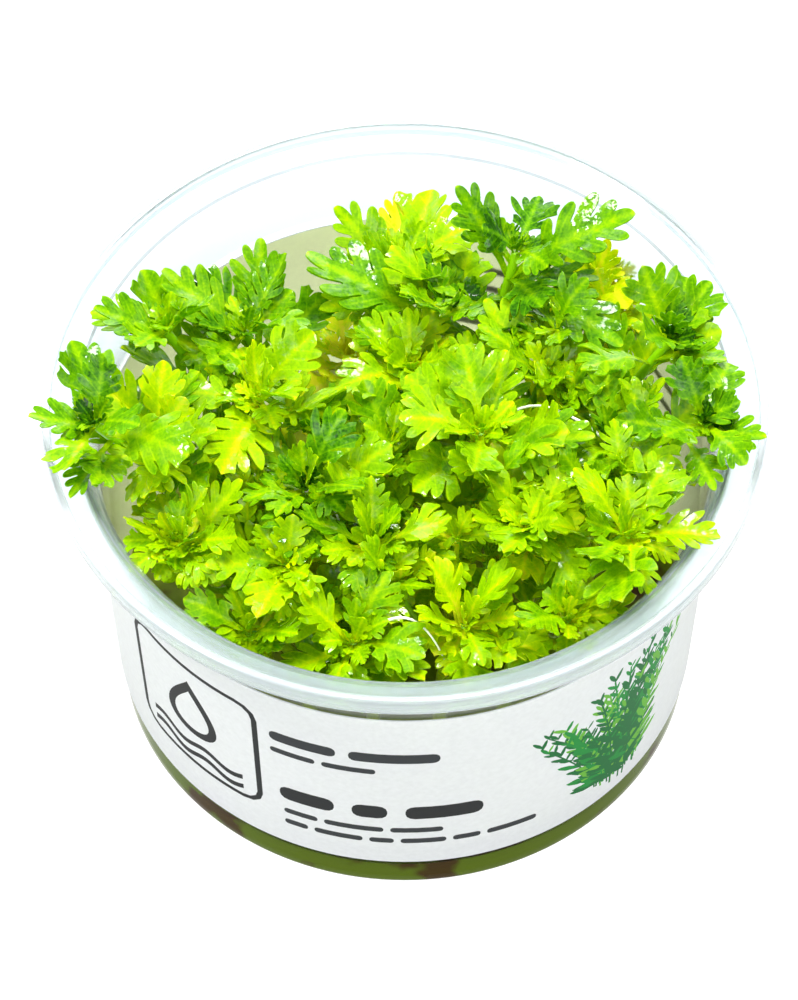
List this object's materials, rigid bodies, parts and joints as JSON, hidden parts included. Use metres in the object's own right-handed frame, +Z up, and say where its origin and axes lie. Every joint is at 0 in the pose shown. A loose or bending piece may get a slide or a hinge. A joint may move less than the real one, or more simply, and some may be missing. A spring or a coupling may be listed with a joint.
{
  "type": "tissue culture aquarium plant cup",
  "caption": "Clear plastic cup of nutrient gel with a dense tuft of young, bright green, lobed-leaf aquarium plants and a plain wrap-round label.",
  "frame": {"origin": "centre of the cup's base, at the level of the foot ring that it stands on", "axes": "+Z up out of the cup's mouth, -Y towards the side with the front of the label, +X to the right of someone who faces it"},
  "size_m": [0.101, 0.1, 0.0719],
  "materials": {
    "clear_plastic": "clear moulded plastic with a faint cool tint, glossy, a little hazy at the rim",
    "label_paper": "white coated label paper, satin, printed in dark grey and green",
    "nutrient_gel": "clouded olive agar gel, glossy, with brown root crumbs",
    "stem_green": "smooth juicy yellow-green stem and young leaves, wet",
    "leaf_green": "thin fresh green leaf with paler midrib and veins, wet gloss, lets light through",
    "leaf_yellow": "pale yellow leaf that got little light, lets light through",
    "root_white": "fine white roots, smooth and moist"
  },
  "bodies": {
    "root": {"cup": "clear_plastic", "label": "label_paper", "agar_gel": "nutrient_gel", "shoot_01": "stem_green", "shoot_02": "stem_green", "shoot_03": "stem_green", "shoot_04": "stem_green", "shoot_05": "stem_green", "shoot_06": "stem_green", "shoot_07": "stem_green", "shoot_08": "stem_green", "shoot_09": "stem_green", "shoot_10": "stem_green", "shoot_11": "stem_green", "shoot_12": "stem_green", "shoot_13": "stem_green", "shoot_14": "stem_green", "shoot_15": "stem_green", "shoot_16": "stem_green", "shoot_17": "stem_green", "shoot_18": "stem_green", "shoot_19": "stem_green", "shoot_20": "stem_green", "shoot_21": "stem_green", "shoot_22": "stem_green", "shoot_23": "stem_green", "shoot_24": "stem_green", "shoot_25": "stem_green", "shoot_26": "stem_green", "shoot_27": "stem_green", "leaf_01": "leaf_green", "leaf_02": "leaf_green", "leaf_03": "leaf_green", "leaf_04": "leaf_green", "leaf_05": "leaf_green", "leaf_06": "leaf_yellow", "leaf_07": "leaf_green", "leaf_08": "leaf_green", "leaf_09": "leaf_green", "leaf_10": "leaf_green", "leaf_11": "leaf_green", "leaf_12": "leaf_green", "leaf_13": "leaf_yellow", "leaf_14": "leaf_green", "leaf_15": "leaf_green", "leaf_16": "leaf_green", "leaf_17": "leaf_green", "leaf_18": "leaf_green", "leaf_19": "leaf_green", "leaf_20": "leaf_green", "leaf_21": "leaf_green", "leaf_22": "leaf_green", "leaf_23": "leaf_green", "leaf_24": "leaf_green", "leaf_25": "leaf_green", "leaf_26": "leaf_green", "leaf_27": "leaf_green", "leaf_28": "leaf_green"}
  },
  "joints": []
}
